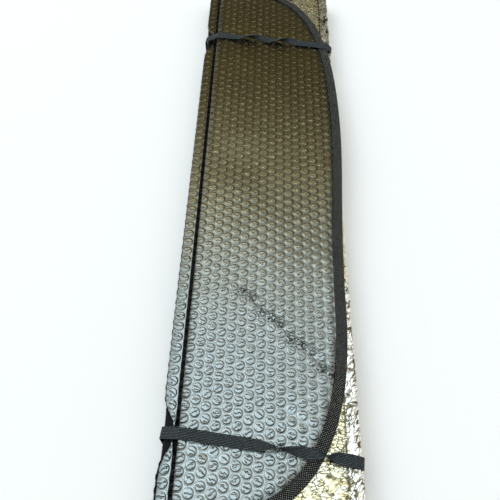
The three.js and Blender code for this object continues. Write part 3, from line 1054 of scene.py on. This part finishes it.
def bubble_film():
    """Dark pearlescent film with painted reflection, cold near and olive far away. Each rim has painted
    shade, strongest on its lower right, and a painted highlight on its upper left.
    """
    material, tree, shader = new_material("bubble_film")
    x, y, seed = parts_of(tree, attribute(tree, "bubble", "Vector"))
    flat = vector(tree, x, y, 0.0)
    reach = node(tree, "ShaderNodeVectorMath", {0: flat}, operation="LENGTH").outputs["Value"]
    own = vector(tree, x, y, product(tree, seed, 140.0))
    fine = noise(tree, own, 0.9, 2.0, 0.5)
    folds = math_node(tree, "MULTIPLY_ADD", fine, 0.1, slack_folds(tree, flat, seed, own, reach))
    height = product(tree, attribute(tree, "slack"), folds)

    painted_reflection_drift = attribute(tree, "painted_reflection_drift")
    warmth, depth = spread(tree, painted_reflection_drift, 0.0, 0.52), spread(tree, painted_reflection_drift, 0.35, 1.0)

    def painted_drift(near, warm, far):
        return colours(tree, depth, colours(tree, warmth, near, warm), far)

    # Painted reflection along the length: cold near, warm in the middle, dark olive far away. The film
    # between the bubbles is painted lighter than the tops, also as painted reflection.
    top = painted_drift(colours(tree, seed, *FILM_NEAR), FILM_MIDDLE_PAINTED_REFLECTION, FILM_FAR_PAINTED_REFLECTION)
    base = colours(tree, spread(tree, reach, 4.2, 4.6), top, painted_drift(FILM_BETWEEN, FILM_MIDDLE_PAINTED_REFLECTION, FILM_FAR_PAINTED_REFLECTION))

    # The painted rim shade is wider in the middle range, where the slopes are gentle
    middle_range = product(tree, warmth, math_node(tree, "SUBTRACT", 1.0, depth))
    inner_reach = math_node(tree, "MULTIPLY_ADD", warmth, 0.6, reach)
    outer_reach = math_node(tree, "MULTIPLY_ADD", middle_range, -0.6, reach)
    rim = product(tree, spread(tree, inner_reach, 3.35, 3.9), spread(tree, outer_reach, 5.1, 4.6))
    # Painted shade round each rim, strongest on its lower right, and a painted highlight on its upper left,
    # the side the lamps light; the highlight has less metal
    lower_right = math_node(tree, "SUBTRACT", product(tree, x, 0.4), product(tree, y, 0.92))
    painted_rim_shade = product(tree, rim, spread(tree, lower_right, -3.5, 3.0, 0.1, 1.0))
    base = colours(tree, painted_rim_shade, base, painted_drift(*RIM_PAINTED_SHADES))
    painted_rim_highlight = product(tree, rim, spread(tree, lower_right, -0.5, -3.5, 0.0, 0.8))
    painted_rim_highlight = product(tree, painted_rim_highlight, spread(tree, warmth, 0.8, 0.0))
    base = colours(tree, painted_rim_highlight, base, RIM_PAINTED_HIGHLIGHT)
    mirror = spread(tree, painted_rim_highlight, 0.0, 0.8, 1.0, PAINTED_HIGHLIGHT_METALLIC)

    # Crumpled bubbles near the crease get painted shade in their tatters, besides the bump
    tatters = spread(tree, noise(tree, own, 0.4, 2.0, 1.2), 0.5, 0.6)
    tatters = product(tree, tatters, attribute(tree, "crumpled"))
    base = colours(tree, product(tree, tatters, spread(tree, reach, 4.4, 3.9)), base, CRUMPLE_PAINTED_SHADE)
    height = math_node(tree, "MULTIPLY_ADD", tatters, 1.5, height)
    # Painted shade along the crease line on the top panel
    aside = math_node(tree, "ABSOLUTE", attribute(tree, "crease"))
    base = colours(tree, spread(tree, aside, 0.6, 0.15, 0.0, 0.6), base, CREASE_PAINTED_SHADE)
    # Painted shade near the open fold's edge and the tape, and near-black painted shade in the gap under the
    # top panel, on the strip's outer edge and right beside the tape
    edge = attribute(tree, "edge")
    base = colours(tree, spread(tree, edge, EDGE_SHADE, 0.0, 0.0, 0.65), base, EDGE_PAINTED_SHADE)
    painted_deep_shade = larger(tree, spread(tree, edge, *DEEP_SHADE_BEYOND), spread(tree, edge, *DEEP_SHADE_WITHIN))
    base = colours(tree, painted_deep_shade, base, DEEP_PAINTED_SHADE)
    set_shader(tree, shader, base_color=base, metallic=mirror, normal=bumped(tree, height, 0.0009),
               roughness=spread(tree, fine, 0.3, 0.7, 0.22, 0.30))
    return material


def dark_film():
    """The pressed and folded film beside the open bubbles."""
    material, tree, shader = new_material("dark_film")
    fold = attribute(tree, "fold")
    rough = noise(tree, object_place(tree), 330.0, 3.0, 0.8)
    pale = colours(tree, rough, (0.05, 0.05, 0.055), (0.09, 0.09, 0.095))
    # Folds and the strip's bed get near-black painted shade, without metal
    set_shader(tree, shader, base_color=colours(tree, fold, pale, DEEP_PAINTED_SHADE), specular_ior_level=0.08,
               metallic=spread(tree, fold, 0.0, 1.0, 0.6, 0.0), normal=bumped(tree, rough, 0.0005, 0.7),
               roughness=spread(tree, rough, 0.3, 0.7, 0.42, 0.6))
    return material


def creases(tree, place, stretch, turn, scale):
    """Thin crooked lines between long cells."""
    bend = noise(tree, place, 170.0, output="Color")
    shift = node(tree, "ShaderNodeVectorMath", {0: bend, "Scale": 0.005}, operation="SCALE").outputs[0]
    bent = node(tree, "ShaderNodeVectorMath", {0: place, 1: shift}, operation="ADD").outputs[0]
    long = stretched_by(tree, turned_by(tree, bent, turn), stretch)
    inputs = {"Vector": long, "Scale": scale}
    distance = node(tree, "ShaderNodeTexVoronoi", inputs, feature="DISTANCE_TO_EDGE").outputs["Distance"]
    lines = spread(tree, distance, 0.11, 0.03)
    return product(tree, lines, spread(tree, noise(tree, place, 90.0), 0.3, 0.5))


SILVER_PAINTED_WARM_REFLECTION = ((0.91, 0.87, 0.72), (0.84, 0.74, 0.44))
SILVER_PAINTED_COLD_REFLECTION = (0.95, 0.95, 0.93)
SILVER_PAINTED_CREASE_SHADE = (0.10, 0.078, 0.035)


def silver_film(name, with_tone):
    """Bright metallised film, crumpled, with painted warm reflections and thin brown creases of painted
    shade.
    """
    material, tree, shader = new_material(name)
    place = object_place(tree)
    broad = noise(tree, place, 120.0, 3.0, 1.2)
    fine = noise(tree, stretched_by(tree, place, (1.0, 2.2, 1.0)), 260.0, 3.0, 2.2)
    warm = colours(tree, spread(tree, broad, 0.44, 0.62), *SILVER_PAINTED_WARM_REFLECTION)
    lines = creases(tree, place, (0.7, 1.7, 1.0), 0.0, 245.0)
    if with_tone:
        # On the outer shoulder a painted cold reflection, with streaks and the crease line as painted shade
        outer = attribute(tree, "outer")
        streaks = creases(tree, place, (2.6, 0.5, 1.0), math.radians(28), 150.0)
        warm = colours(tree, outer, warm, SILVER_PAINTED_COLD_REFLECTION)
        lines = product(tree, lines, spread(tree, outer, 1.0, 0.35))
        lines = larger(tree, lines, product(tree, streaks, outer))
        lines = larger(tree, lines, spread(tree, attribute(tree, "crease"), 0.45, 1.0))
    height = math_node(tree, "MULTIPLY_ADD", lines, -0.2, product(tree, fine, 0.28))
    set_shader(tree, shader, base_color=colours(tree, lines, warm, SILVER_PAINTED_CREASE_SHADE), metallic=1.0,
               roughness=spread(tree, broad, 0.3, 0.7, 0.18, 0.3), normal=bumped(tree, height, 0.0004, 0.8))
    return material


def woven(name, base, pale, pitch):
    """Plain weave in millimetres along and across a tape."""
    material, tree, shader = new_material(name)
    place = attribute(tree, "place", "Vector")
    along, across, _ = parts_of(tree, place)
    waves = [math_node(tree, "SINE", product(tree, way, 2 * math.pi / pitch)) for way in (along, across)]
    weave = product(tree, *waves)
    fuzz = noise(tree, place, 1.7, 3.0)
    # Painted sheen on the weave's crests, paler than the black tape
    painted_sheen = product(tree, spread(tree, weave, 0.45, 0.95), spread(tree, fuzz, 0.4, 0.6, 0.2, 1.0))
    height = math_node(tree, "MULTIPLY_ADD", fuzz, 0.5, weave)
    set_shader(tree, shader, base_color=colours(tree, painted_sheen, base, pale), roughness=0.75,
               specular_ior_level=0.25, normal=bumped(tree, height, 0.00022, 0.9))
    return material


def webbing(name, groove, rib, rib_pitch, thread_pitch):
    """Flat elastic: rubber ribs along it with fine cross threads."""
    material, tree, shader = new_material(name)
    place = attribute(tree, "place", "Vector")
    along, across, _ = parts_of(tree, place)
    ribs = math_node(tree, "COSINE", product(tree, across, 2 * math.pi / rib_pitch))
    threads = math_node(tree, "SINE", product(tree, along, 2 * math.pi / thread_pitch))
    fuzz = noise(tree, place, 0.9, 3.0)
    # Painted sheen on the ribs, lighter than the black grooves
    painted_sheen = product(tree, spread(tree, ribs, 0.1, 0.95), spread(tree, fuzz, 0.35, 0.65, 0.25, 1.0))
    height = math_node(tree, "MULTIPLY_ADD", threads, 0.25, ribs)
    set_shader(tree, shader, base_color=colours(tree, painted_sheen, groove, rib), roughness=0.7,
               specular_ior_level=0.3, normal=bumped(tree, height, 0.00015, 0.9))
    return material


def plain(name, colour, roughness, scale, depth):
    material, tree, shader = new_material(name)
    grain = noise(tree, object_place(tree), scale, 3.0)
    lighter = tuple(min(1.0, value * 1.25) for value in colour)
    set_shader(tree, shader, base_color=colours(tree, grain, colour, lighter), roughness=roughness,
               normal=bumped(tree, grain, depth, 0.5))
    return material


film = bubble_film()
dark = dark_film()
silver = silver_film("silver_film", False)
crumpled = silver_film("crumpled_silver", True)
tape = woven("woven_tape", (0.004, 0.004, 0.004), (0.50, 0.50, 0.47), 2.3)
band = webbing("elastic_webbing", (0.004, 0.005, 0.007), (0.13, 0.16, 0.18), 1.25, 2.6)
thread = plain("binding_thread", (0.012, 0.012, 0.013), 0.6, 1500.0, 0.0001)

# Pieces
folds = folded_sheet(dark, silver)
top_field = bubble_field("foil_bubbles_top", 1, LEFT + TOP_INSET - 4, WIDEST_X, BUBBLE_PHASE, 14, film)
strip_field = bubble_field("foil_bubbles_strip", 3, *STRIP_X, STRIP_PHASE, 14, film, narrow=True)
under_field = bubble_field("foil_bubbles_under", PANELS, LEFT, WIDEST_X, UNDER_PHASE, 10, film)
corners = [silver_corner("foil_silver_" + end, end == "near", crumpled) for end in ("near", "far")]
binding_tape = binding(tape)
binding_thread = stitches(thread)
bands = {name: elastic(name, band) for name in ELASTICS}

foil_parts = [folds, top_field, strip_field, under_field, *corners]
for piece in foil_parts:
    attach(piece, "root")
for piece in (binding_tape, binding_thread):
    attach(piece, "root")
for piece in bands.values():
    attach(piece, "root")
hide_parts("foil_sheet")
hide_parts("edge_binding")
for name, piece in bands.items():
    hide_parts(name)

# Floor, light and camera

RIM_TURN = 48
# The floor's rim as radius and height, in metres
RIM_PROFILE = [(1.9, 0), (2.2, 0.02), (2.45, 0.09), (2.62, 0.22), (2.7, 0.42)]
STUDIO_STRENGTH = 2.0
STUDIO_AXIS = (-0.28, 0.0, 0.96)
# Light by the direction's share of that axis, from the horizon to the zenith
STUDIO_STEPS = [
    (0.0, (0.16, 0.16, 0.15)), (0.3, (0.13, 0.125, 0.105)), (0.46, (0.085, 0.078, 0.05)),
    (0.58, (0.09, 0.08, 0.04)), (0.645, (0.12, 0.105, 0.06)), (0.705, (0.20, 0.178, 0.095)),
    (0.757, (0.38, 0.36, 0.26)), (0.80, (0.55, 0.57, 0.51)), (0.84, (0.67, 0.74, 0.74)),
    (0.87, (0.77, 0.91, 0.98)), (1.0, (0.78, 0.94, 1.0))]
# Place and side in metres, and power
LAMPS = {"softbox_left": ((-1.9, 0.8, 1.6), 2.8, 22), "softbox_right": ((2.0, 0.4, 1.7), 2.6, 15)}
CAMERA_PLACE = (MIDDLE - 7.49, -381.23, 483.5)
CAMERA_TURN = (32.056, -0.321, 1.702)
LENS = 38.0


def build_floor():
    material, tree, shader = new_material("pale_floor")
    set_shader(tree, shader, base_color=(0.97, 0.945, 0.965, 1), roughness=0.9)
    turns = np.linspace(0, 2 * math.pi, RIM_TURN, endpoint=False)
    points = [(radius * math.cos(turn), radius * math.sin(turn), z)
              for radius, z in RIM_PROFILE for turn in turns]
    faces = grid_faces(len(RIM_PROFILE), RIM_TURN, close_columns=True)[:, ::-1].tolist()
    faces.append(list(range(RIM_TURN)))
    floor = add_mesh("floor", np.array(points) / MM, faces, [material])


def build_studio():
    world = bpy.data.worlds.new("studio")
    bpy.context.scene.world = world
    world.use_nodes = True
    sky = world.node_tree
    sky.nodes.clear()
    direction = node(sky, "ShaderNodeTexCoord").outputs["Generated"]
    axis = {0: direction, 1: STUDIO_AXIS}
    rise = node(sky, "ShaderNodeVectorMath", axis, operation="DOT_PRODUCT").outputs["Value"]
    ramp = node(sky, "ShaderNodeValToRGB", {0: rise})
    elements = ramp.color_ramp.elements
    for place, _ in STUDIO_STEPS[1:-1]:
        elements.new(place)
    for element, (_, colour) in zip(elements, STUDIO_STEPS):
        element.color = (*colour, 1)
    light = {"Color": ramp.outputs[0], "Strength": STUDIO_STRENGTH}
    background = node(sky, "ShaderNodeBackground", light)
    node(sky, "ShaderNodeOutputWorld", {"Surface": background.outputs[0]})


def build_lamp(name, place, side, power):
    """A square soft lamp that looks at the origin."""
    lamp = bpy.data.lights.new(name, "AREA")
    lamp.shape = "RECTANGLE"
    lamp.size = lamp.size_y = side
    lamp.energy = power
    made = bpy.data.objects.new(name, lamp)
    made.location = place
    made.rotation_euler = (-Vector(place)).to_track_quat("-Z", "Y").to_euler()
    bpy.context.scene.collection.objects.link(made)


def build_camera():
    data = bpy.data.cameras.new("camera")
    data.sensor_width = 36
    data.lens = LENS
    data.clip_start = 0.01
    camera = bpy.data.objects.new("camera", data)
    camera.location = [value * MM for value in CAMERA_PLACE]
    camera.rotation_euler = [math.radians(angle) for angle in CAMERA_TURN]
    bpy.context.scene.collection.objects.link(camera)
    bpy.context.scene.camera = camera


build_floor()
build_studio()
for name, (place, side, power) in LAMPS.items():
    build_lamp(name, place, side, power)
build_camera()
bpy.context.scene.view_settings.view_transform = "Standard"
